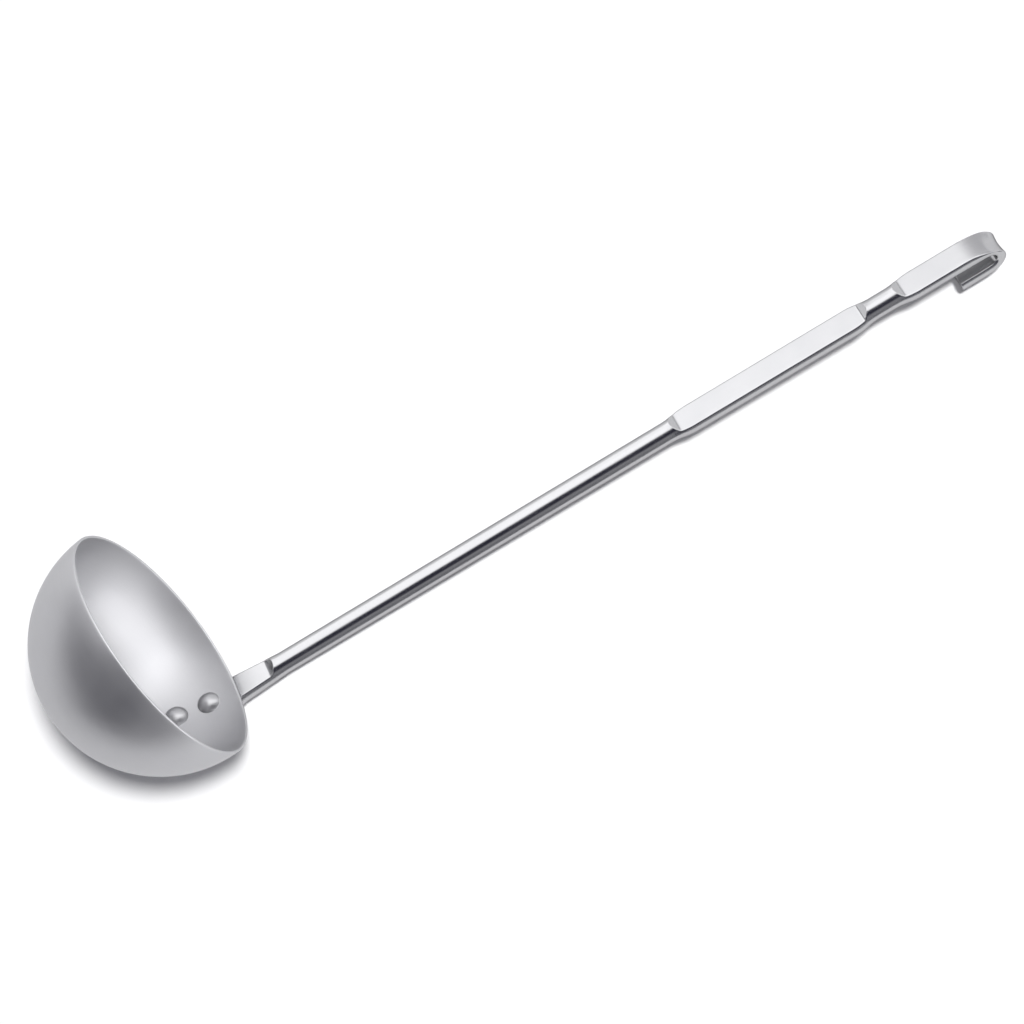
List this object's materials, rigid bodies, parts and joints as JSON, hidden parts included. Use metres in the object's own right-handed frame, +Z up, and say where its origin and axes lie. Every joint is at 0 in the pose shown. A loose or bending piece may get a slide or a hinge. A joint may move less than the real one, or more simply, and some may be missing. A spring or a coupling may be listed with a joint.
{
  "type": "ladle",
  "caption": "Serving ladle: a half-ball bowl of thin sheet riveted to a round rod handle with a pressed flat grip and an open hanging hook.",
  "frame": {"origin": "on the table, under the middle of the ladle's box, with the ladle lying as it comes to rest", "axes": "+Z up from the table, +X from the bowl to the hook, along the handle, +Y across"},
  "size_m": [0.3614, 0.0899, 0.0894],
  "materials": {
    "satin_steel": "satin brushed",
    "polished_steel": "polished",
    "rivet_steel": "polished"
  },
  "bodies": {
    "root": {"bowl": "satin_steel", "handle": "polished_steel", "rivet_upper": "rivet_steel", "rivet_lower": "rivet_steel"}
  },
  "joints": []
}
